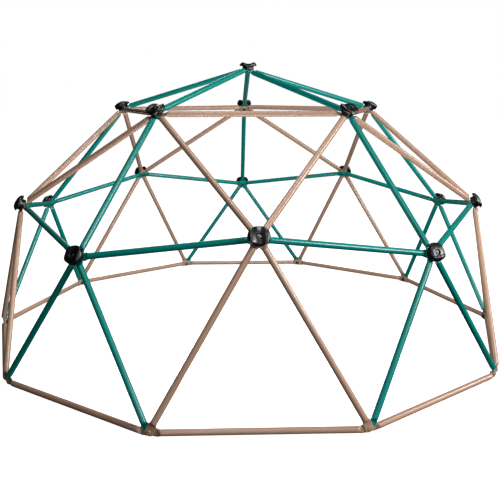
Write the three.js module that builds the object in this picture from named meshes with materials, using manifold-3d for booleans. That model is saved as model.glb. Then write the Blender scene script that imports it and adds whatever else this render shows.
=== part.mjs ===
// Geodesic dome climber: a two-frequency icosahedral hemisphere of steel tubes. Each tube's ends
// are pressed flat, bent into the hub's tangent plane, stacked, and held by one bolt at each hub.
// Millimetres, +Z up. The origin is on the ground, under the top hub.
import * as THREE from 'three';
import { mergeVertices } from 'three/addons/utils/BufferGeometryUtils.js';
import Module from 'manifold-3d';

const wasm = await Module();
wasm.setup();

// The dome
const DOME_RADIUS = 1524; // to the points where the tubes' axes would meet
const FRONT = -90; // azimuth of the middle hub that faces the front, in degrees
const SECTORS = 5;
const SECTOR = 360 / SECTORS; // in degrees

// Tubes and their flattened ends. A reach is a distance from a hub's bolt axis along the tube.
const TUBE_RADIUS = 15;
const TUBE_SIDES = 8;
const PLATE_THICKNESS = 2.5;
const PLATE_HALF_WIDTH = 20;
const TIP_REACH = -17.5; // the plate's end, past the bolt
const TIP_HALF_WIDTH = 9; // what the two cut corners leave of the end
const CORNER_REACH = -8; // where the cut corners start
const FLAT_REACH = 35; // where the plate's middle starts to swell into the tube
const SWELL_REACH = 41; // where the edges, still folded flat, start to open too
const SWELL_HALF_WIDTH = 18;
const SWELL_THICKNESS = 13; // of the middle, at the swell
const BEND_REACH = 43; // where the plate's middle plane meets the tube's axis
const ROUND_REACH = 51; // where the tube is round

// Hub stacks
const SEAT_DROP = 7; // from the dome radius in to the outer face of the stack
const GAP = 0.3; // between pieces that touch

// Bolts, nuts and washers. A capped hub's bolt has its button head inside the dome and its nut in
// the cap. A base hub has no cap: its button head is outside, and its nut is inside.
const FASTENER_SIDES = 6;
const SHANK_RADIUS = 6;
const HOLE_RADIUS = 6.6;
const BUTTON_SIDES = 8;
const BUTTON_RADIUS = 10.5;
const BUTTON_TOP_RADIUS = 7;
const BUTTON_HEIGHT = 5;
const SOCKET_RADIUS = 4;
const SOCKET_DEPTH = 3;
const HEX_RADIUS = 11;
const NUT_HEIGHT = 8;
const THREAD_END = 3; // length of bolt past the nut
const WASHER_RADIUS = 15;
const WASHER_SIDES = 8;
const WASHER_THICKNESS = 2.2;

// Hub caps: a round neck under a head that is shaped like a saddle. It has two high wings along
// its X axis, and droops to both sides of them, on the -Y side with a tighter outline.
const CAP_SEGMENTS = 16;
const NECK_RADIUS = 32.5;
const RIM_RADIUS = 49;
const RIM_CHAMFER = 1.5;
const TIGHT_SIDE = 0.88;
const TOP_HEIGHTS = [[0, 39], [14, 41], [33, 46], [41, 43], [49, 33]]; // at distances along X
const UNDER_HEIGHTS = [[0, 30], [20, 29], [33, 27], [49, 24.5]];
const DROOPS = [
  [-44, 13], [-40, 10], [-33, 4.5], [-27, 2], [0, 0], [12, 1], [25, 3.5], [36, 8], [49, 13.5],
]; // of the top, at distances along Y
const UNDER_DROOP = 0.65; // of the top's
const RECESS_RADIUS = 14;
const RECESS_FLOOR_HEIGHT = 27;
const BORE_RADIUS = 6.8;

const FINISHES = {
  tan: { color: 0xb28f78, roughness: 0.34, metalness: 0 },
  teal: { color: 0x038173, roughness: 0.3, metalness: 0 },
  black: { color: 0x141416, roughness: 0.38, metalness: 0 },
  steel: { color: 0x2b2b2e, roughness: 0.4, metalness: 1 },
};

// ---- Solids ----

function toSolid(geometry) {
  geometry.deleteAttribute('normal');
  geometry.deleteAttribute('uv');
  const merged = mergeVertices(geometry, 1e-4);
  return new wasm.Manifold(new wasm.Mesh({
    numProp: 3,
    vertProperties: merged.getAttribute('position').array,
    triVerts: new Uint32Array(merged.index.array),
  }));
}

function toGeometry(solid) {
  const mesh = solid.getMesh();
  const geometry = new THREE.BufferGeometry();
  geometry.setAttribute('position', new THREE.BufferAttribute(mesh.vertProperties, 3));
  geometry.setIndex(new THREE.BufferAttribute(mesh.triVerts, 1));
  geometry.computeVertexNormals();
  return geometry;
}

function join(solids) {
  return solids.reduce((whole, solid) => whole.add(solid));
}

// A prism on the Z axis, from one height to another, which may taper upwards
function prism(radius, sides, low, high, topRadius = radius) {
  const geometry = new THREE.CylinderGeometry(topRadius, radius, high - low, sides);
  return geometry.rotateX(Math.PI / 2).translate(0, 0, (low + high) / 2);
}

// ---- Hubs ----

const degrees = THREE.MathUtils.degToRad;

function direction(elevation, azimuth) {
  return new THREE.Vector3().setFromSphericalCoords(
    1,
    Math.PI / 2 - elevation,
    degrees(azimuth + 90),
  ).applyAxisAngle(new THREE.Vector3(1, 0, 0), Math.PI / 2);
}

function between(a, b) {
  return a.clone().add(b).normalize();
}

// A hub has an outward axis, a frame in its tangent plane, and a count of the plates on it
function makeHub(outward) {
  const north = new THREE.Vector3(0, 0, 1).projectOnPlane(outward);
  if (north.lengthSq() < 1e-6) north.set(0, -1, 0);
  north.normalize();
  const east = north.clone().cross(outward);
  return { outward, frame: new THREE.Matrix4().makeBasis(east, north, outward), plates: 0 };
}

// An icosahedron with a corner on top has five more corners above the middle, all at one
// elevation. The other hubs are the middles of its edges, pushed out to the sphere.
const sectors = Array.from({ length: SECTORS }, (_, i) => i);
const nextTo = (i) => (i + 1) % SECTORS;
const topAxis = new THREE.Vector3(0, 0, 1);
const cornerAxes = sectors.map((i) => direction(Math.atan(0.5), FRONT + SECTOR * (i + 0.5)));
const top = makeHub(topAxis);
const corners = cornerAxes.map(makeHub);
const uppers = cornerAxes.map((axis) => makeHub(between(topAxis, axis)));
const middles = cornerAxes.map((axis, i) => makeHub(between(axis, cornerAxes[nextTo(i)])));
const belt = sectors.flatMap((i) => [corners[i], middles[i]]);
const bases = sectors.flatMap((i) => [
  makeHub(direction(0, FRONT + SECTOR * (i + 0.25))),
  makeHub(direction(0, FRONT + SECTOR * (i + 0.75))),
]);

// ---- Tubes ----

function stackThickness(plates) {
  return plates * (PLATE_THICKNESS + GAP) - GAP;
}

// The middle of a plate's thickness, as a radius. Plates are counted from the innermost.
function plateRadius(hub, level) {
  const platesAbove = hub.plates - 1 - level;
  const drop = SEAT_DROP + PLATE_THICKNESS / 2 + platesAbove * (PLATE_THICKNESS + GAP);
  return DOME_RADIUS - drop;
}

// One end of a tube: its hub, its place in the stack, and the way the tube leaves the hub
function makeEnd(hub, far, level) {
  const along = far.outward.clone().projectOnPlane(hub.outward).normalize();
  return { hub, level, along };
}

function addPlate(hub) {
  hub.plates += 1;
  return hub.plates - 1;
}

function makeTube(a, b) {
  return [makeEnd(a, b, addPlate(a)), makeEnd(b, a, addPlate(b))];
}

// A ring of tubes takes the two innermost places in each of its hubs' stacks
function makeRing(hubs) {
  hubs.forEach((hub) => {
    hub.plates = 2;
  });
  return hubs.map((hub, i) => {
    const following = hubs[(i + 1) % hubs.length];
    return [makeEnd(hub, following, 0), makeEnd(following, hub, 1)];
  });
}

function onPlate(end, reach) {
  const centre = end.hub.outward.clone().multiplyScalar(plateRadius(end.hub, end.level));
  return centre.addScaledVector(end.along, reach);
}

// Sections from an end's tip to where the tube is round. A flat section is thin at its edges.
function endSections(end, axis, roundUp) {
  const flat = (reach, halfWidth, thickness = PLATE_THICKNESS) => ({
    centre: onPlate(end, reach),
    up: end.hub.outward,
    halfWidth,
    thickness,
    flat: true,
  });
  const round = {
    centre: onPlate(end, BEND_REACH).addScaledVector(axis, ROUND_REACH - BEND_REACH),
    up: roundUp,
    flat: false,
  };
  return [
    flat(TIP_REACH, TIP_HALF_WIDTH),
    flat(CORNER_REACH, PLATE_HALF_WIDTH),
    flat(FLAT_REACH, PLATE_HALF_WIDTH),
    flat(SWELL_REACH, SWELL_HALF_WIDTH, SWELL_THICKNESS),
    round,
  ];
}

// A cylinder whose rows of vertices are moved onto the tube's sections. Its sides keep the area
// of the round tube, and an even number of sides puts half of them on each face of a plate.
function tubeSolid([first, last]) {
  const axis = onPlate(last, BEND_REACH).sub(onPlate(first, BEND_REACH)).normalize();
  const wide = last.hub.outward.clone().cross(first.hub.outward).normalize();
  const roundUp = wide.clone().cross(axis);
  const sections = [
    ...endSections(first, axis, roundUp),
    ...endSections(last, axis.clone().negate(), roundUp).reverse(),
  ];
  const rows = sections.length - 1;
  const halfStep = Math.PI / TUBE_SIDES;
  const cornerRadius = TUBE_RADIUS * Math.sqrt((2 * halfStep) / Math.sin(2 * halfStep));
  const geometry = new THREE.CylinderGeometry(1, 1, 1, TUBE_SIDES, rows, false, halfStep);
  const position = geometry.getAttribute('position');
  const vertex = new THREE.Vector3();
  for (let i = 0; i < position.count; i += 1) {
    vertex.fromBufferAttribute(position, i);
    const section = sections[Math.round((0.5 - vertex.y) * rows)];
    const side = Math.abs(vertex.x) < 1e-6 ? 0 : Math.sign(vertex.x);
    const onEdge = Math.abs(vertex.z) > Math.cos(2 * halfStep);
    const thickness = onEdge ? PLATE_THICKNESS : section.thickness;
    const across = section.flat
      ? (vertex.z / Math.cos(halfStep)) * section.halfWidth
      : vertex.z * cornerRadius;
    const rise = section.flat ? (side * thickness) / 2 : vertex.x * cornerRadius;
    vertex.copy(section.centre).addScaledVector(wide, across).addScaledVector(section.up, rise);
    position.setXYZ(i, vertex.x, vertex.y, vertex.z);
  }
  return toSolid(geometry);
}

// The bolt hole through one end's plate
function holeSolid(end) {
  const middle = plateRadius(end.hub, end.level);
  const geometry = prism(
    HOLE_RADIUS,
    FASTENER_SIDES,
    middle - PLATE_THICKNESS,
    middle + PLATE_THICKNESS,
  );
  return toSolid(geometry.applyMatrix4(end.hub.frame));
}

function drilledTube(tube) {
  return tubeSolid(tube).subtract(join(tube.map(holeSolid)));
}

// ---- Bolts and caps, on the Z axis with the outer face of the stack at zero ----

// A rounded head with a hexagon socket, standing on a plane at a height
function buttonSolid(low) {
  const high = low + BUTTON_HEIGHT;
  const button = prism(BUTTON_RADIUS, BUTTON_SIDES, low, high, BUTTON_TOP_RADIUS);
  const socket = prism(SOCKET_RADIUS, FASTENER_SIDES, high - SOCKET_DEPTH, high + 1);
  return toSolid(button).subtract(toSolid(socket));
}

function cappedBolt(hub) {
  const inside = -stackThickness(hub.plates) - GAP;
  const floor = RECESS_FLOOR_HEIGHT + GAP;
  const nutTop = floor + NUT_HEIGHT;
  const solids = [
    prism(SHANK_RADIUS, FASTENER_SIDES, inside - 1, nutTop + THREAD_END),
    prism(HEX_RADIUS, FASTENER_SIDES, floor, nutTop),
  ].map(toSolid);
  return join([...solids, buttonSolid(-inside).rotate([180, 0, 0])]);
}

function bareBolt(hub) {
  const washerTop = -stackThickness(hub.plates) - GAP;
  const nutTop = washerTop - WASHER_THICKNESS;
  const nutBottom = nutTop - NUT_HEIGHT;
  const solids = [
    prism(SHANK_RADIUS, FASTENER_SIDES, nutBottom - THREAD_END, GAP + 1),
    prism(HEX_RADIUS, FASTENER_SIDES, nutBottom, nutTop + 1),
    prism(WASHER_RADIUS, WASHER_SIDES, nutTop, washerTop),
  ].map(toSolid);
  return join([...solids, buttonSolid(GAP)]);
}

// A value at a place, from a table of places and values with straight lines between them
function lookUp(table, place) {
  const k = table.findIndex(([at], i) => i > 0 && place <= at);
  const [[fromPlace, fromValue], [toPlace, toValue]] = table.slice(k - 1, k + 1);
  return THREE.MathUtils.mapLinear(place, fromPlace, toPlace, fromValue, toValue);
}

// The profile's points lie at fixed heights, or at an offset from the head's top or underside
function capSolid() {
  const profile = [
    { radius: BORE_RADIUS, height: GAP },
    { radius: NECK_RADIUS, height: GAP },
    { radius: NECK_RADIUS, under: 0 },
    { radius: 41, under: 0 },
    { radius: RIM_RADIUS, under: 0 },
    { radius: RIM_RADIUS, top: -RIM_CHAMFER },
    { radius: RIM_RADIUS - RIM_CHAMFER, top: 0 },
    { radius: 41, top: 0 },
    { radius: 33, top: 0 },
    { radius: RECESS_RADIUS, top: 0 },
    { radius: RECESS_RADIUS, height: RECESS_FLOOR_HEIGHT },
    { radius: BORE_RADIUS, height: RECESS_FLOOR_HEIGHT },
    { radius: BORE_RADIUS, height: GAP },
  ];
  const outline = profile.map(({ radius }) => new THREE.Vector2(radius, 0));
  const geometry = new THREE.LatheGeometry(outline, CAP_SEGMENTS).rotateX(Math.PI / 2);
  const position = geometry.getAttribute('position');
  for (let i = 0; i < position.count; i += 1) {
    const { radius, height, top: topOffset, under } = profile[i % profile.length];
    const onHead = radius > NECK_RADIUS && position.getY(i) < 0;
    const y = position.getY(i) * (onHead ? TIGHT_SIDE : 1);
    const x = Math.min(Math.abs(position.getX(i)), RIM_RADIUS);
    const droop = lookUp(DROOPS, THREE.MathUtils.clamp(y, -TIGHT_SIDE * RIM_RADIUS, RIM_RADIUS));
    if (height !== undefined) position.setZ(i, height);
    if (topOffset !== undefined) position.setZ(i, lookUp(TOP_HEIGHTS, x) - droop + topOffset);
    if (under !== undefined) position.setZ(i, lookUp(UNDER_HEIGHTS, x) - droop * UNDER_DROOP);
    position.setY(i, y);
  }
  return toSolid(geometry);
}

// ---- Assembly ----

const dome = new THREE.Group();
dome.position.z = PLATE_HALF_WIDTH; // the base plates' lower edges rest on the ground

function finish(name) {
  return new THREE.MeshStandardMaterial({ ...FINISHES[name], name });
}

// A tube's mesh has its own origin half way between its hubs
function addTube(name, finishName, tube) {
  const middle = between(...tube.map((end) => end.hub.outward)).multiplyScalar(DOME_RADIUS);
  const geometry = toGeometry(drilledTube(tube)).translate(...middle.clone().negate().toArray());
  const mesh = new THREE.Mesh(geometry, finish(finishName));
  mesh.name = name;
  mesh.position.copy(middle);
  dome.add(mesh);
}

// A ring of tubes is one piece with its hubs' bolts, so its own plates have no holes
function addRing(name, finishName, tubes, hubs, makeBolt) {
  const bolts = hubs.map((hub) => makeBolt(hub)
    .translate([0, 0, DOME_RADIUS - SEAT_DROP])
    .transform(hub.frame.toArray()));
  const mesh = new THREE.Mesh(toGeometry(join([...tubes, ...bolts])), finish(finishName));
  mesh.name = name;
  dome.add(mesh);
}

// A piece built on the hub's seat
function addToHub(name, finishName, hub, solid) {
  const mesh = new THREE.Mesh(toGeometry(solid), finish(finishName));
  mesh.name = name;
  mesh.quaternion.setFromRotationMatrix(hub.frame);
  mesh.position.copy(hub.outward).multiplyScalar(DOME_RADIUS - SEAT_DROP);
  dome.add(mesh);
}

// Plates are stacked in the order in which the tubes are made: the rings innermost
const baseRing = makeRing(bases);
const beltRing = makeRing(belt);
const upperRing = makeRing(uppers);
const braces = sectors.flatMap((i) => [
  makeTube(uppers[i], middles[i]),
  makeTube(uppers[nextTo(i)], middles[i]),
]);
const ribs = sectors.map((i) => makeTube(uppers[i], corners[i]));
const cornerLegs = sectors.flatMap((i) => [
  makeTube(corners[i], bases[2 * i]),
  makeTube(corners[i], bases[2 * i + 1]),
]);
const middleLegs = sectors.flatMap((i) => [
  makeTube(middles[i], bases[2 * i + 1]),
  makeTube(middles[i], bases[(2 * i + 2) % bases.length]),
]);
const crown = sectors.map((i) => makeTube(top, uppers[i]));

addRing('base_ring', 'tan', baseRing.map(tubeSolid), bases, bareBolt);
addRing('belt_ring', 'teal', beltRing.map(tubeSolid), belt, cappedBolt);
addRing('upper_ring', 'tan', upperRing.map(tubeSolid), uppers, cappedBolt);
middleLegs.forEach((tube, i) => addTube(`middle_leg_${i + 1}`, 'tan', tube));
cornerLegs.forEach((tube, i) => addTube(`corner_leg_${i + 1}`, 'teal', tube));
braces.forEach((tube, i) => addTube(`brace_${i + 1}`, 'tan', tube));
ribs.forEach((tube, i) => addTube(`rib_${i + 1}`, 'teal', tube));
crown.forEach((tube, i) => addTube(`crown_tube_${i + 1}`, 'teal', tube));
addToHub('top_bolt', 'steel', top, cappedBolt(top));
addToHub('top_cap', 'black', top, capSolid());
uppers.forEach((hub, i) => addToHub(`upper_cap_${i + 1}`, 'black', hub, capSolid()));
middles.forEach((hub, i) => addToHub(`middle_cap_${i + 1}`, 'black', hub, capSolid()));
corners.forEach((hub, i) => addToHub(`corner_cap_${i + 1}`, 'black', hub, capSolid()));

const part = new THREE.Group();
part.add(dome);

export default part;
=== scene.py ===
import math

import bpy
import numpy as np
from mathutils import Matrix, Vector


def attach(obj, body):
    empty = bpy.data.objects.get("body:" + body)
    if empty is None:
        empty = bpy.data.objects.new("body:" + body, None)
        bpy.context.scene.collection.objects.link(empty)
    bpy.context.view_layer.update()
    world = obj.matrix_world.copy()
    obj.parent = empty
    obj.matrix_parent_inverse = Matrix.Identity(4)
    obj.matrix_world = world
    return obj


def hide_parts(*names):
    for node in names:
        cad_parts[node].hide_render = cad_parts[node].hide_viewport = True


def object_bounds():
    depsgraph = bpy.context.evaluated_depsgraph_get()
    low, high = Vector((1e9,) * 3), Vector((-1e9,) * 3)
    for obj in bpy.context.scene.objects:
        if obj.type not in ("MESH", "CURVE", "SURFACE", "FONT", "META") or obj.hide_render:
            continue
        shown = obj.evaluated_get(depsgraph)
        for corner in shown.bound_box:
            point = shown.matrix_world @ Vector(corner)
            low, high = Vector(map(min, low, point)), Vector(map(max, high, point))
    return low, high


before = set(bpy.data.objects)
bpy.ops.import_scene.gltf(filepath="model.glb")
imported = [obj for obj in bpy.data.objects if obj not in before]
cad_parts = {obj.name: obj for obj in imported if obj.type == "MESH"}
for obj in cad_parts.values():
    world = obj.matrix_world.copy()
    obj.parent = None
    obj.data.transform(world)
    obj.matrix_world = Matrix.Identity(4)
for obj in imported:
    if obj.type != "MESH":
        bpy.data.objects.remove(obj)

CAD_LOW, CAD_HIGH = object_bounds()
BODY = "root"

# ---- Sizes, in metres ----

TUBE_RADIUS = 0.0146  # as near in as the flats of the CAD model's eight-sided tube
PLATE_THICKNESS = 0.0025
PLATE_HALF_WIDTH = 0.020
# Reaches run along a tube from its hub's axis, out from the plate's tip
TIP_REACH = -0.0175
TIP_HALF_WIDTH = 0.009
CORNER_REACH = -0.008  # where the tip's cut corners end
FLAT_REACH = 0.035  # where the flat plate ends
BEND_REACH = 0.043
ROUND_REACH = 0.056  # where the tube is round
SEAT_DROP = 0.007  # from the dome's sphere in to a hub's outer plate
GAP = 0.0003  # between pieces that are clamped together
SHANK_RADIUS = 0.006
HOLE_RADIUS = 0.0066
HEX_RADIUS = 0.011
BUTTON_HEIGHT = 0.005
SOCKET_RADIUS = 0.004
NUT_HEIGHT = 0.008
THREAD_END = 0.003  # of a bolt, past its nut
THREAD_LENGTH = 0.016
THREAD_PITCH = 0.00175
THREAD_DEPTH = 0.0009
HEAD_OVERLAP = 0.001  # of a bolt's shank with its head
WASHER_RADIUS = 0.015
WASHER_THICKNESS = 0.0022
RECESS_FLOOR_HEIGHT = 0.027

CAP_HEIGHT = 0.046  # of a cap's wings, above the hub's outer plate
DOME_RADIUS = CAD_HIGH.z - PLATE_HALF_WIDTH + SEAT_DROP - CAP_HEIGHT
ORIGIN = np.array([0.0, 0.0, PLATE_HALF_WIDTH])


# ---- Hubs ----

def unit(v):
    return v / np.linalg.norm(v)


def on_plane(v, normal):
    return unit(v - normal * (v @ normal))


def direction(elevation, azimuth):
    a = math.radians(azimuth)
    return np.array([
        math.cos(elevation) * math.cos(a), math.cos(elevation) * math.sin(a), math.sin(elevation)])


class Hub:
    """A hub's axes, and the number of plates stacked on it so far."""

    def __init__(self, outward):
        self.outward = unit(outward)
        up = np.array([0.0, 0.0, 1.0])
        if abs(self.outward @ up) > 0.999:  # the top hub, whose north is the dome's front
            up = np.array([0.0, -1.0, 0.0])
        self.north = on_plane(up, self.outward)
        self.east = np.cross(self.north, self.outward)
        self.plates = 0

    def seat(self):
        return ORIGIN + self.outward * (DOME_RADIUS - SEAT_DROP)

    def place(self, points):
        """Points built round +Z, with the outer face of the stack at zero, moved to the hub."""
        points = np.asarray(points)
        axes = np.array([self.east, self.north, self.outward])
        return points @ axes + self.seat()


SECTORS = range(5)
TOP = Hub(np.array([0.0, 0.0, 1.0]))
CORNERS = [Hub(direction(math.atan(0.5), -54 + 72 * i)) for i in SECTORS]
UPPERS = [Hub(TOP.outward + c.outward) for c in CORNERS]
MIDDLES = [Hub(CORNERS[i].outward + CORNERS[(i + 1) % 5].outward) for i in SECTORS]
BELT = [h for i in SECTORS for h in (CORNERS[i], MIDDLES[i])]
BASES = [Hub(direction(0, az + 72 * i)) for i in SECTORS for az in (-72, -36)]


# ---- Tubes ----

class End:
    """One end of a tube: its hub, its place in the stack from the inside, and its direction."""

    def __init__(self, hub, far, level):
        self.hub, self.level = hub, level
        self.along = on_plane(far.outward, hub.outward)

    def on_plate(self, reach):
        above = self.hub.plates - 1 - self.level
        radius = DOME_RADIUS - SEAT_DROP - PLATE_THICKNESS / 2 - above * (PLATE_THICKNESS + GAP)
        return ORIGIN + self.hub.outward * radius + self.along * reach


def tube_between(a, b):
    levels = []
    for hub in (a, b):
        levels.append(hub.plates)
        hub.plates += 1
    return End(a, b, levels[0]), End(b, a, levels[1])


def ring_of(hubs):
    for hub in hubs:
        hub.plates = 2
    n = len(hubs)
    return [(End(hubs[i], hubs[(i + 1) % n], 0), End(hubs[(i + 1) % n], hubs[i], 1))
            for i in range(n)]


def smoothstep(x):
    x = np.clip(x, 0, 1)
    return x * x * (3 - 2 * x)


QUARTER = 9  # sides of a quarter of the section
ARC = 4  # of which these go round the folded edge where the tube is pressed flat
TIP_TURNS = (18, 40, 64, 90)  # degrees round the eased edge of a plate's tip
PLATE_REACHES = (-0.0165, -0.0145, -0.0125, -0.0105, -0.0092, -0.008, -0.0068, -0.0055,
                 -0.003, 0.004, 0.014, 0.024, 0.031, FLAT_REACH)
CORNER_SOFTNESS = 0.0012  # rounds the cut corners where they meet the plate's sides
BEND_STEPS = 13


def section(half_width, swell, roundness):
    """The outline of a pressed tube. Two flats meet in thin folded edges, and swell up between
    them; roundness takes the outline from that to the tube's circle."""
    edge = PLATE_THICKNESS / 2
    flat = half_width - edge
    quarter = []
    for j in range(QUARTER + 1):
        if j <= ARC:
            a = math.pi / 2 * j / ARC
            x, y = flat + edge * math.cos(a), edge * math.sin(a)
        else:
            x, y = flat * (QUARTER - j) / (QUARTER - ARC), edge
        y += swell * max(1 - (x / half_width) ** 2, 0.0) ** 1.15
        turn = math.pi / 2 * j / QUARTER
        rx, ry = TUBE_RADIUS * math.cos(turn), TUBE_RADIUS * math.sin(turn)
        quarter.append((x + (rx - x) * roundness, y + (ry - y) * roundness))
    q = np.array(quarter)
    second = q[::-1][1:] * [-1, 1]
    half = np.vstack([q, second])
    lower = (half[1:-1] * [1, -1])[::-1]
    return np.vstack([half, lower])


def end_stations(end, axis, wide):
    """Rings of points from an end's tip to where the tube is round."""
    rings = []
    half = PLATE_THICKNESS / 2
    slope = (PLATE_HALF_WIDTH - TIP_HALF_WIDTH) / (CORNER_REACH - TIP_REACH)

    def plate_width(reach):
        cut = TIP_HALF_WIDTH + slope * (reach - TIP_REACH)
        d = (cut - PLATE_HALF_WIDTH) / CORNER_SOFTNESS
        return min(cut, PLATE_HALF_WIDTH) - CORNER_SOFTNESS * math.exp(-abs(d)) * 0.45

    def add(centre, up, outline):
        rings.append(centre + np.outer(outline[:, 0], wide) + np.outer(outline[:, 1], up))

    # The cut end is eased over, from a narrow strip to the plate's full thickness
    for turn in TIP_TURNS:
        a = math.radians(turn)
        reach = TIP_REACH + half - half * math.cos(a)
        outline = section(plate_width(reach) - half * (1 - math.sin(a)), 0.0, 0.0)
        add(end.on_plate(reach), end.hub.outward, outline * [1, math.sin(a)])
    for reach in PLATE_REACHES:
        add(end.on_plate(reach), end.hub.outward, section(plate_width(reach), 0.0, 0.0))
    p0, p1 = end.on_plate(FLAT_REACH), end.on_plate(BEND_REACH)
    p2 = p1 + axis * (ROUND_REACH - BEND_REACH)
    # Over the bend the plate narrows and swells, and from a quarter of the way on turns round
    for i in range(1, BEND_STEPS + 1):
        t = i / BEND_STEPS
        centre = p0 * (1 - t) ** 2 + p1 * 2 * t * (1 - t) + p2 * t * t
        tangent = unit((p1 - p0) * (1 - t) + (p2 - p1) * t)
        up = np.cross(wide, tangent)
        if up @ end.hub.outward < 0:
            up = -up
        narrowing = (PLATE_HALF_WIDTH - TUBE_RADIUS) * 0.75
        width = PLATE_HALF_WIDTH - narrowing * float(smoothstep(t * 1.3))
        swell = (TUBE_RADIUS - half) * float(smoothstep(t)) ** 0.9
        add(centre, up, section(width, swell, float(smoothstep((t - 0.25) / 0.75))))
    return rings


def tube_mesh(name, tube):
    first, last = tube
    axis = unit(last.on_plate(BEND_REACH) - first.on_plate(BEND_REACH))
    wide = unit(np.cross(last.hub.outward, first.hub.outward))
    head = end_stations(first, axis, wide)
    tail = end_stations(last, -axis, wide)[::-1]
    # The middle has a few more rings, so that shading stays even over the length
    a, b = head[-1], tail[0]
    middle = [a * (1 - t) + b * t for t in (0.25, 0.5, 0.75)]
    rings = head + middle + tail
    n = len(rings[0])
    points = np.vstack(rings)
    faces = []
    for r in range(len(rings) - 1):
        for k in range(n):
            m = (k + 1) % n
            faces.append((r * n + k, r * n + m, (r + 1) * n + m, (r + 1) * n + k))
    # Strips close the two tips
    for base, flip in ((0, False), ((len(rings) - 1) * n, True)):
        upper = [base + k for k in range(0, n // 2 + 1)]
        lower = [base + (n - k) % n for k in range(0, n // 2 + 1)]
        for k in range(n // 2):
            quad = [upper[k], upper[k + 1], lower[k + 1], lower[k]]
            quad = list(dict.fromkeys(quad))
            faces.append(tuple(quad if flip else quad[::-1]))
    mesh = bpy.data.meshes.new(name)
    mesh.from_pydata(points.tolist(), [], faces)
    mesh.update()
    return mesh


MARK_REACH = 0.12  # of an end's marks from its hub
RIM_WEAR = 0.003
TIP_WEAR = 0.0025
FOLD_REACH = 0.010


def tube_marks(obj, tube):
    """Wear is 1 along a plate's cut or folded edges. Fold shade is 1 where the tube is bent, and marks
    where the coat gets painted shade.
    """
    co = np.zeros(len(obj.data.vertices) * 3)
    obj.data.vertices.foreach_get("co", co)
    co = co.reshape(-1, 3)
    wide = unit(np.cross(tube[1].hub.outward, tube[0].hub.outward))
    wear, fold_shade = np.zeros(len(co)), np.zeros(len(co))
    for end in tube:
        d = co - end.on_plate(0)
        s, across = d @ end.along, np.abs(d @ wide)
        near = np.linalg.norm(d, axis=1) < MARK_REACH
        rim = smoothstep((across - (PLATE_HALF_WIDTH - RIM_WEAR)) / RIM_WEAR)
        cut = PLATE_HALF_WIDTH - across + (s - CORNER_REACH)
        tip = smoothstep(1 - np.minimum(s - TIP_REACH, np.maximum(cut, 0) * 0.7) / TIP_WEAR)
        flat = s < FLAT_REACH
        wear = np.where(near & flat, np.maximum(wear, np.maximum(rim, tip)), wear)
        # Painted shade: the bend is marked so that the coat's colour is darkened there
        bend = smoothstep(1 - np.abs(s - FLAT_REACH - 0.001) / FOLD_REACH)
        fold_shade = np.where(near, np.maximum(fold_shade, bend), fold_shade)
    for key, values in (("wear", wear), ("fold_shade", fold_shade)):
        layer = obj.data.attributes.new(key, "FLOAT", "POINT")
        layer.data.foreach_set("value", values.astype(np.float32))


# ---- Grids turned round an axis ----

def turned(name, rows, closed=True):
    """A mesh from rows of points, each row going once round the axis. A closed one's last row
    joins its first, and an open one's end rows are capped."""
    n = len(rows[0])
    points = np.vstack(rows)
    faces = []
    count = len(rows)
    for r in range(count if closed else count - 1):
        q = (r + 1) % count
        for k in range(n):
            m = (k + 1) % n
            faces.append((r * n + k, r * n + m, q * n + m, q * n + k))
    if not closed:
        faces.append(tuple(range(n))[::-1])
        faces.append(tuple((count - 1) * n + k for k in range(n)))
    mesh = bpy.data.meshes.new(name)
    mesh.from_pydata(points.tolist(), [], faces)
    mesh.update()
    return mesh


def spline(points, per_span):
    """A smooth curve through points, at even steps in each span."""
    p = np.array(points, float)
    out = []
    for i in range(len(p) - 1):
        a = p[max(i - 1, 0)]
        b, c = p[i], p[i + 1]
        d = p[min(i + 2, len(p) - 1)]
        span = np.linalg.norm(c - b)
        m1 = (c - a) / max(np.linalg.norm(c - a), 1e-9) * span
        m2 = (d - b) / max(np.linalg.norm(d - b), 1e-9) * span
        for j in range(per_span):
            t = j / per_span
            h1, h2 = 2 * t**3 - 3 * t**2 + 1, t**3 - 2 * t**2 + t
            h3, h4 = -2 * t**3 + 3 * t**2, t**3 - t**2
            out.append(h1 * b + h2 * m1 + h3 * c + h4 * m2)
    out.append(p[-1])
    return np.array(out)


# ---- Hub cap ----

CAP_STEPS = 144
CAP_RIM = 0.049
CAP_NECK = 0.0325
CAP_RECESS = 0.014
CAP_BORE = 0.0068
FILLET = 0.0026  # where the neck meets the head's underside
RIM_ROUNDING = 0.0017
LIP_WIDTH = 0.0018  # of the recess
LIP_DEPTH = 0.0016
TIGHT_SIDE = 0.88  # the share of the full reach that the head keeps on its southern side
TIGHT_SPAN = 0.008  # outside the neck, over which that comes in
UNDER_DROOP = 0.65  # the share of the top's droop that the underside has

# Millimetres. The first two give heights by the distance east or west of the hub's axis, and the
# last gives how far the head droops by the distance north of it
TOP_CURVE = spline([(0, 38.6), (8, 39.2), (14, 40.7), (24, 44.2), (32, 45.85), (38, 44.9),
                    (43, 41.0), (47, 35.6), (49.5, 31.8)], 6) * 0.001
UNDER_CURVE = spline([(0, 30.2), (10, 29.9), (20, 29.2), (33, 27.2), (41, 25.9), (49.5, 24.7)], 6) * 0.001
DROOP_CURVE = spline([(-43.6, 13.4), (-40, 10.6), (-36, 7.3), (-32, 4.5), (-27, 2.6), (-18.6, 1.5),
                      (-17.0, 0.55), (-8, 0.15), (0, 0.05), (12, 1.1), (22, 3.0), (30, 5.6),
                      (38, 9.0), (45, 12.0), (49.5, 13.9)], 6) * 0.001


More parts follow.
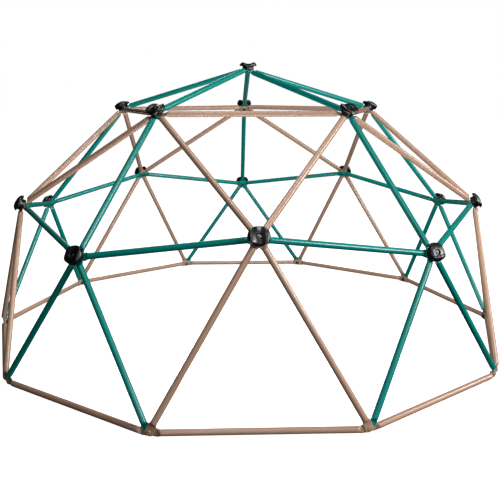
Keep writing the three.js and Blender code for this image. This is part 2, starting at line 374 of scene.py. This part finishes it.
def cap_rows():
    """Pairs of a radius and either a fixed height, or a share of the way from the head's underside
    to its top with an offset from there."""
    rows = [(0.0312, GAP), (0.0321, 0.0007), (CAP_NECK, 0.0017), (0.03245, 0.006), (0.0324, 0.012)]
    # The neck runs up in a fillet to the head's underside
    for turn in (0, 22, 45, 68, 90):
        a = math.radians(turn)
        rows.append((CAP_NECK + FILLET * (1 - math.cos(a)), (0.0, -FILLET * (1 - math.sin(a)))))
    rows += [(r, (0.0, 0.0)) for r in (0.0368, 0.0386, 0.0404, 0.0422, 0.0440, 0.0456, 0.0468)]
    # A rounded rim
    for turn in (-90, -65, -40, -15, 15, 40, 65, 90):
        a = math.radians(turn)
        rows.append((CAP_RIM - RIM_ROUNDING * (1 - math.cos(a)), (0.5 + 0.5 * math.sin(a), 0.0)))
    rows += [(r, (1.0, 0.0)) for r in np.arange(0.0461, 0.0166, -0.0014)]
    # The recess has a soft lip
    for turn in (15, 35, 55, 75, 90):
        a = math.radians(turn)
        rows.append((CAP_RECESS + LIP_WIDTH * (1 - math.sin(a)), (1.0, -LIP_DEPTH * (1 - math.cos(a)))))
    rows += [(CAP_RECESS, 0.0340), (CAP_RECESS, 0.0282), (0.0136, 0.0274),
             (0.0127, RECESS_FLOOR_HEIGHT), (0.0095, RECESS_FLOOR_HEIGHT),
             (CAP_BORE, RECESS_FLOOR_HEIGHT), (CAP_BORE, GAP), (0.020, GAP)]
    return rows


def cap_mesh(name, hub):
    theta = np.linspace(0, 2 * math.pi, CAP_STEPS, endpoint=False)
    rows = []
    for radius, height in cap_rows():
        x, y = radius * np.cos(theta), radius * np.sin(theta)
        if isinstance(height, tuple):
            share, offset = height
            tight = 1 - (1 - TIGHT_SIDE) * float(smoothstep((radius - CAP_NECK) / TIGHT_SPAN))
            y = np.where(y < 0, y * tight, y)
            droop = np.interp(y, DROOP_CURVE[:, 0], DROOP_CURVE[:, 1])
            top = np.interp(np.abs(x), TOP_CURVE[:, 0], TOP_CURVE[:, 1]) - droop
            under = np.interp(np.abs(x), UNDER_CURVE[:, 0], UNDER_CURVE[:, 1]) - droop * UNDER_DROOP
            z = under + (top - under) * share + offset
        else:
            z = np.full(CAP_STEPS, height)
        rows.append(hub.place(np.column_stack([x, y, z])))
    return turned(name, rows)


# ---- Bolts, nuts and washers ----

RING_STEPS = 48
THETA = np.linspace(0, 2 * math.pi, RING_STEPS, endpoint=False)


def ring(radius, height):
    """A row of points round the hub's axis. Radius and height are one number or one a step."""
    r = np.broadcast_to(radius, THETA.shape)
    return np.column_stack([r * np.cos(THETA), r * np.sin(THETA), np.full(RING_STEPS, height)])


def hexagon(radius):
    """A hexagon's radius at each step, from the radius of its corners."""
    apothem = radius * math.cos(math.pi / 6)
    return apothem / np.cos((THETA + math.pi / 6) % (math.pi / 3) - math.pi / 6)


def shank_mesh(name, hub, low, high, threaded_top):
    """A bolt's shank, one end of which is threaded and runs out in a chamfer."""
    rise = THREAD_PITCH / 5
    tip = high if threaded_top else low
    inward = -1 if threaded_top else 1
    rows = [ring(SHANK_RADIUS * 0.62, tip), ring(SHANK_RADIUS * 0.8, tip + inward * 0.0003)]
    for k in range(1, int(THREAD_LENGTH / rise)):
        z = tip + inward * (0.0006 + k * rise)
        groove = 1 - np.abs((z / THREAD_PITCH - THETA / (2 * math.pi)) % 1 * 2 - 1)
        rows.append(ring(SHANK_RADIUS - THREAD_DEPTH * min(k / 3, 1) * groove, z))
    rows.append(ring(SHANK_RADIUS, tip + inward * (THREAD_LENGTH + 0.001)))
    rows.append(ring(SHANK_RADIUS, low if threaded_top else high))
    if threaded_top:
        rows = rows[::-1]
    return turned(name, [hub.place(r) for r in rows], closed=False)


def nut_mesh(name, hub, low):
    """A hexagon nut whose corners are turned off to a cone on both faces."""
    high = low + NUT_HEIGHT
    flats, face = hexagon(HEX_RADIUS), HEX_RADIUS * math.cos(math.pi / 6) * 0.96
    drop = (flats - face) * math.tan(math.radians(30))
    mouth, bore, bevel = SHANK_RADIUS + 0.0008, SHANK_RADIUS + 0.0001, 0.0007
    outline = [(bore, low + bevel), (mouth, low), (face, low), (flats, low + drop),
               (flats, high - drop), (face, high), (mouth, high), (bore, high - bevel)]
    return turned(name, [hub.place(ring(r, z)) for r, z in outline])


def washer_mesh(name, hub, low):
    high = low + WASHER_THICKNESS
    outer, inner, soft = WASHER_RADIUS, HOLE_RADIUS, 0.0004
    outline = [(inner, low + soft), (inner + soft, low), (outer - soft * 1.5, low),
               (outer - soft * 0.4, low + soft * 0.4), (outer, low + soft * 1.4),
               (outer, high - soft * 1.6), (outer - soft * 0.5, high - soft * 0.5),
               (outer - soft * 1.8, high), (inner + soft, high), (inner, high - soft)]
    return turned(name, [hub.place(ring(r, z)) for r, z in outline])


def button_mesh(name, hub, seat, outward):
    """A low rounded head with a hexagon socket, standing outwards or inwards from its seat."""
    high = BUTTON_HEIGHT - GAP
    edge = 0.0010  # the height at which the side turns in to the crown
    outline = [(0.0020, 0.0), (0.0098, 0.0), (0.0103, 0.0004), (0.0104, edge)]
    for turn in (25, 40, 55, 70):
        a = math.radians(turn)
        radius = 0.0052 + 0.0052 * math.cos(a) ** 0.8
        outline.append((radius, edge + (high - edge) * math.sin(a) ** 0.9))
    socket = hexagon(SOCKET_RADIUS)
    outline += [(0.0056, high), (0.0050, high), (socket + 0.0003, high - 0.0001),
                (socket, high - 0.0005), (socket, high - 0.0028), (socket * 0.5, high - 0.0032)]
    side = 1 if outward else -1
    rows = [ring(r, seat + side * z) for r, z in outline]
    return turned(name, [hub.place(r) for r in (rows if outward else rows[::-1])], closed=False)


# ---- Materials ----

class Nodes:
    """A material and short ways of adding nodes to it."""

    def __init__(self, name):
        self.material = bpy.data.materials.new(name)
        self.material.use_nodes = True
        self.tree = self.material.node_tree
        self.tree.nodes.clear()
        out = self.make("ShaderNodeOutputMaterial")
        self.shader = self.make("ShaderNodeBsdfPrincipled")
        self.link(self.shader.outputs["BSDF"], out.inputs["Surface"])
        self.coords = self.make("ShaderNodeTexCoord").outputs["Object"]

    def make(self, kind, **settings):
        node = self.tree.nodes.new(kind)
        for key, value in settings.items():
            setattr(node, key, value)
        return node

    def link(self, a, b):
        self.tree.links.new(a, b)

    def noise(self, scale, detail=2.0, roughness=0.5, stretch=None):
        source = self.coords
        if stretch:
            mapping = self.make("ShaderNodeMapping")
            mapping.inputs["Scale"].default_value = stretch
            self.link(source, mapping.inputs["Vector"])
            source = mapping.outputs["Vector"]
        node = self.make("ShaderNodeTexNoise")
        node.inputs["Scale"].default_value = scale
        node.inputs["Detail"].default_value = detail
        node.inputs["Roughness"].default_value = roughness
        self.link(source, node.inputs["Vector"])
        return node.outputs["Fac"]

    def attribute(self, name):
        return self.make("ShaderNodeAttribute", attribute_name=name).outputs["Fac"]

    def ranged(self, value, low, high, to_low, to_high):
        node = self.make("ShaderNodeMapRange")
        self.link(value, node.inputs["Value"])
        for key, number in zip(("From Min", "From Max", "To Min", "To Max"),
                               (low, high, to_low, to_high)):
            node.inputs[key].default_value = number
        return node.outputs["Result"]

    def maths(self, operation, a, b):
        node = self.make("ShaderNodeMath", operation=operation)
        for socket, value in zip(node.inputs, (a, b)):
            if isinstance(value, (int, float)):
                socket.default_value = value
            else:
                self.link(value, socket)
        return node.outputs["Value"]

    def mix(self, factor, a, b):
        node = self.make("ShaderNodeMix", data_type="RGBA")
        self.link(factor, node.inputs["Factor"])
        for key, value in (("A", a), ("B", b)):
            socket = [s for s in node.inputs if s.name == key and s.type == "RGBA"][0]
            if isinstance(value, tuple):
                socket.default_value = (*value, 1.0)
            else:
                self.link(value, socket)
        return [s for s in node.outputs if s.type == "RGBA"][0]

    def bump(self, layers):
        """Layers of (height, strength, distance), each laid over the one before."""
        normal = None
        for height, strength, distance in layers:
            node = self.make("ShaderNodeBump")
            node.inputs["Strength"].default_value = strength
            node.inputs["Distance"].default_value = distance
            self.link(height, node.inputs["Height"])
            if normal:
                self.link(normal, node.inputs["Normal"])
            normal = node.outputs["Normal"]
        self.link(normal, self.shader.inputs["Normal"])


def linear(red, green, blue):
    """A linear colour from 8-bit sRGB."""
    def one(c):
        c /= 255
        return c / 12.92 if c <= 0.04045 else ((c + 0.055) / 1.055) ** 2.4
    return tuple(one(c) for c in (red, green, blue))


def powder_coat(name, colour, deep, worn):
    """A thick glossy coat: orange peel, a slow drift of tone, thin coat on edges, and painted shade
    darkening the bends.
    """
    n = Nodes(name)
    drift = n.ranged(n.noise(5.5, 3.0, 0.55), 0.3, 0.7, 0.0, 1.0)
    base = n.mix(drift, colour, deep)
    speck = n.ranged(n.noise(950.0, 2.0, 0.6), 0.62, 0.75, 0.0, 0.06)
    base = n.mix(speck, base, worn)
    rub = n.ranged(n.noise(160.0, 3.0, 0.6), 0.38, 0.62, 0.25, 1.0)
    edge = n.maths("MULTIPLY", n.maths("MULTIPLY", n.attribute("wear"), rub), 0.7)
    base = n.mix(edge, base, worn)
    # Painted shade: where the tube is bent the colour is darkened towards 0.4 of itself, broken up by
    # noise
    fold_shade_noise = n.ranged(n.noise(70.0, 3.0, 0.6), 0.35, 0.7, 0.1, 0.42)
    fold_shade = n.maths("MULTIPLY", n.attribute("fold_shade"), fold_shade_noise)
    base = n.mix(fold_shade, base, tuple(c * 0.4 for c in colour))
    n.link(base, n.shader.inputs["Base Color"])
    smear = n.ranged(n.noise(38.0, 4.0, 0.62), 0.3, 0.7, 0.29, 0.36)
    gloss = n.maths("ADD", smear, n.maths("MULTIPLY", edge, 0.25))
    n.link(gloss, n.shader.inputs["Roughness"])
    n.shader.inputs["IOR"].default_value = 1.3
    n.shader.inputs["Coat Weight"].default_value = 0.7
    n.shader.inputs["Coat Roughness"].default_value = 0.22
    n.bump([(n.noise(420.0, 2.0, 0.5), 0.06, 0.0001), (n.noise(60.0, 2.0, 0.5), 0.04, 0.0002)])
    return n.material


def moulded_plastic(name):
    """Black moulded plastic: a fine grain, faint scuffs, and a gloss that comes and goes."""
    n = Nodes(name)
    scuff = n.ranged(n.noise(90.0, 5.0, 0.7), 0.60, 0.78, 0.0, 0.3)
    drift = n.ranged(n.noise(14.0, 3.0, 0.5), 0.3, 0.7, 0.0, 1.0)
    base = n.mix(drift, linear(7, 7, 8), linear(12, 12, 13))
    base = n.mix(scuff, base, linear(40, 40, 42))  # scuffs are paler
    n.link(base, n.shader.inputs["Base Color"])
    gloss = n.ranged(n.noise(30.0, 4.0, 0.6), 0.3, 0.7, 0.33, 0.41)
    gloss = n.maths("ADD", gloss, n.maths("MULTIPLY", scuff, 0.2))
    n.link(gloss, n.shader.inputs["Roughness"])
    n.shader.inputs["IOR"].default_value = 1.55
    n.shader.inputs["Coat Weight"].default_value = 0.5
    n.shader.inputs["Coat Roughness"].default_value = 0.26
    n.bump([(n.noise(700.0, 2.0, 0.5), 0.12, 0.0001)])
    return n.material


def plated_steel(name, pale, dull):
    """Plated steel: soft blotches of brightness and fine scratches."""
    n = Nodes(name)
    blotch = n.ranged(n.noise(120.0, 3.0, 0.6), 0.3, 0.7, 0.0, 1.0)
    base = n.mix(blotch, pale, dull)
    n.link(base, n.shader.inputs["Base Color"])
    n.shader.inputs["Metallic"].default_value = 1.0
    scratch = n.noise(260.0, 2.0, 0.5, stretch=(1.0, 1.0, 9.0))
    n.link(n.ranged(scratch, 0.3, 0.7, 0.28, 0.48), n.shader.inputs["Roughness"])
    n.bump([(scratch, 0.2, 0.00008)])
    return n.material


# Each finish is a material and its slot, which share a name
TAN = (powder_coat("tan_powder_coat", linear(190, 153, 129), linear(179, 143, 120),
                   linear(236, 212, 192)), "tan_powder_coat")
TEAL = (powder_coat("teal_powder_coat", linear(0, 139, 129), linear(0, 128, 119),
                    linear(84, 200, 190)), "teal_powder_coat")
BLACK = (moulded_plastic("black_plastic"), "black_plastic")
STEEL = (plated_steel("dark_steel", linear(126, 126, 128), linear(100, 100, 103)), "dark_steel")


# ---- Pieces ----

# The angles, in degrees, above which an edge is drawn sharp
FASTENER_SHARP = 34
TUBE_SHARP = 40
CAP_SHARP = 50


def finish_piece(name, mesh, finish, node, sharp):
    material, slot = finish
    obj = bpy.data.objects.new(name, mesh)
    bpy.context.scene.collection.objects.link(obj)
    mesh.materials.append(material)
    mesh.shade_smooth()
    mesh.set_sharp_from_angle(angle=math.radians(sharp))
    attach(obj, BODY)
    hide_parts(node)
    return obj


def add_tube(name, node, tube, finish):
    obj = finish_piece(name, tube_mesh(name, tube), finish, node, TUBE_SHARP)
    tube_marks(obj, tube)


def add_fasteners(name, node, hub, capped):
    """A capped hub's nut is in its cap and its bolt's head inside; a base hub's are the other way."""
    inside = -hub.plates * (PLATE_THICKNESS + GAP)
    if capped:
        nut = RECESS_FLOOR_HEIGHT + GAP
        shank = shank_mesh(name, hub, inside - HEAD_OVERLAP, nut + NUT_HEIGHT + THREAD_END, True)
        button = button_mesh(name, hub, inside, False)
        head_finish = STEEL
    else:
        nut = inside - WASHER_THICKNESS - NUT_HEIGHT
        shank = shank_mesh(name, hub, nut - THREAD_END, GAP + HEAD_OVERLAP, False)
        button = button_mesh(name, hub, GAP, True)
        head_finish = TAN
        washer = washer_mesh(name, hub, inside - WASHER_THICKNESS)
        finish_piece(f"{name}_washer", washer, STEEL, node, FASTENER_SHARP)
    finish_piece(f"{name}_bolt", shank, STEEL, node, FASTENER_SHARP)
    finish_piece(f"{name}_nut", nut_mesh(name, hub, nut), STEEL, node, FASTENER_SHARP)
    finish_piece(f"{name}_button", button, head_finish, node, FASTENER_SHARP)


# The order is that of the stacks: the rings' plates are innermost
base_ring = ring_of(BASES)
belt_ring = ring_of(BELT)
upper_ring = ring_of(UPPERS)
braces = [t for i in SECTORS for t in (
    tube_between(UPPERS[i], MIDDLES[i]), tube_between(UPPERS[(i + 1) % 5], MIDDLES[i]))]
ribs = [tube_between(UPPERS[i], CORNERS[i]) for i in SECTORS]
corner_legs = [t for i in SECTORS for t in (
    tube_between(CORNERS[i], BASES[2 * i]), tube_between(CORNERS[i], BASES[2 * i + 1]))]
middle_legs = [t for i in SECTORS for t in (
    tube_between(MIDDLES[i], BASES[2 * i + 1]), tube_between(MIDDLES[i], BASES[(2 * i + 2) % 10]))]
crown = [tube_between(TOP, UPPERS[i]) for i in SECTORS]

RINGS = (("base_ring", base_ring, TAN), ("belt_ring", belt_ring, TEAL),
         ("upper_ring", upper_ring, TAN))
for node, tubes, finish in RINGS:
    for i, tube in enumerate(tubes):
        add_tube(f"{node}_tube_{i + 1}", node, tube, finish)
SETS = (("middle_leg", middle_legs, TAN), ("corner_leg", corner_legs, TEAL),
        ("brace", braces, TAN), ("rib", ribs, TEAL), ("crown_tube", crown, TEAL))
for stem, tubes, finish in SETS:
    for i, tube in enumerate(tubes):
        add_tube(f"{stem}_{i + 1}_looks", f"{stem}_{i + 1}", tube, finish)

for i, hub in enumerate(BASES):
    add_fasteners(f"base_hub_{i + 1}", "base_ring", hub, False)
for i, hub in enumerate(BELT):
    add_fasteners(f"belt_hub_{i + 1}", "belt_ring", hub, True)
for i, hub in enumerate(UPPERS):
    add_fasteners(f"upper_hub_{i + 1}", "upper_ring", hub, True)
add_fasteners("top_hub", "top_bolt", TOP, True)

CAPS = [("top_cap", TOP)]
for stem, hubs in (("upper", UPPERS), ("middle", MIDDLES), ("corner", CORNERS)):
    CAPS += [(f"{stem}_cap_{i + 1}", hub) for i, hub in enumerate(hubs)]
for node, hub in CAPS:
    finish_piece(f"{node}_looks", cap_mesh(node, hub), BLACK, node, CAP_SHARP)


# ---- Floor, light and camera ----

FLOOR_HALF_WIDTH = 60.0
FLOOR_DROP = 0.0005
SURROUND_STRENGTH = 0.006  # the backdrop is white to the camera and nearly dark to the dome
SENSOR_WIDTH = 36.0  # millimetres, as the lens is
LENS = 48.7
CAMERA_LOCATION = (-0.1385, -4.0546, 1.4194)
CAMERA_AIM = (0.03591, 0.97288, -0.22849)


def add_floor():
    """A white floor that casts no light on the dome."""
    mesh = bpy.data.meshes.new("floor")
    s = FLOOR_HALF_WIDTH
    mesh.from_pydata([(-s, -s, 0), (s, -s, 0), (s, s, 0), (-s, s, 0)], [], [(0, 1, 2, 3)])
    floor = bpy.data.objects.new("floor", mesh)
    bpy.context.scene.collection.objects.link(floor)
    floor.location.z = CAD_LOW.z - FLOOR_DROP
    n = Nodes("floor")
    n.shader.inputs["Base Color"].default_value = (0.9, 0.9, 0.9, 1)
    n.shader.inputs["Roughness"].default_value = 0.9
    n.shader.inputs["Specular IOR Level"].default_value = 0.1
    n.shader.inputs["Emission Color"].default_value = (1, 1, 1, 1)
    n.shader.inputs["Emission Strength"].default_value = 1.0
    mesh.materials.append(n.material)
    floor.visible_diffuse = False
    floor.visible_glossy = False


def add_world():
    world = bpy.data.worlds.new("studio")
    bpy.context.scene.world = world
    world.use_nodes = True
    tree = world.node_tree
    tree.nodes.clear()
    out = tree.nodes.new("ShaderNodeOutputWorld")
    seen = tree.nodes.new("ShaderNodeBackground")
    seen.inputs["Color"].default_value = (1, 1, 1, 1)
    seen.inputs["Strength"].default_value = 1.0
    around = tree.nodes.new("ShaderNodeBackground")
    around.inputs["Color"].default_value = (1, 1, 1, 1)
    around.inputs["Strength"].default_value = SURROUND_STRENGTH
    path = tree.nodes.new("ShaderNodeLightPath")
    mix = tree.nodes.new("ShaderNodeMixShader")
    tree.links.new(path.outputs["Is Camera Ray"], mix.inputs["Fac"])
    tree.links.new(around.outputs["Background"], mix.inputs[1])
    tree.links.new(seen.outputs["Background"], mix.inputs[2])
    tree.links.new(mix.outputs["Shader"], out.inputs["Surface"])


def add_light(name, location, target, size, power):
    data = bpy.data.lights.new(name, "AREA")
    data.shape = "RECTANGLE"
    data.size, data.size_y = size
    data.energy = power
    light = bpy.data.objects.new(name, data)
    light.location = location
    aim = Vector(target) - Vector(location)
    light.rotation_mode = "QUATERNION"
    light.rotation_quaternion = aim.to_track_quat("-Z", "Y")
    light.visible_camera = False
    bpy.context.scene.collection.objects.link(light)


def add_camera():
    data = bpy.data.cameras.new("camera")
    data.sensor_width = SENSOR_WIDTH
    data.lens = LENS
    camera = bpy.data.objects.new("camera", data)
    camera.location = CAMERA_LOCATION
    camera.rotation_mode = "QUATERNION"
    camera.rotation_quaternion = Vector(CAMERA_AIM).to_track_quat("-Z", "Y")
    bpy.context.scene.collection.objects.link(camera)
    bpy.context.scene.camera = camera


add_floor()
add_world()
add_camera()
# Each light has a name, a place, the point it faces, its size, and its power in watts
CENTRE = (0.0, 0.0, 0.7)
add_light("camera_side", (-0.4, -6.0, 1.7), CENTRE, (1.6, 1.6), 30)
add_light("front", (0.0, -4.0, 5.16), CENTRE, (3.0, 2.0), 50)
add_light("key", (3.72, -4.13, 2.95), CENTRE, (1.6, 1.6), 205)
add_light("right", (5.68, -0.5, 2.55), CENTRE, (1.6, 1.6), 125)
add_light("top", (0.0, -0.3, 6.5), CENTRE, (1.8, 1.8), 85)
add_light("back", (-1.2, 5.6, 3.4), CENTRE, (1.8, 1.8), 30)
add_light("inner", (0.0, -1.0, 0.35), (0.0, 1.4, 0.7), (1.2, 0.5), 18)
add_light("under", (0.0, 0.0, 0.06), (0.0, 0.0, 1.5), (1.2, 1.2), 3)

bpy.context.scene.view_settings.view_transform = "Standard"
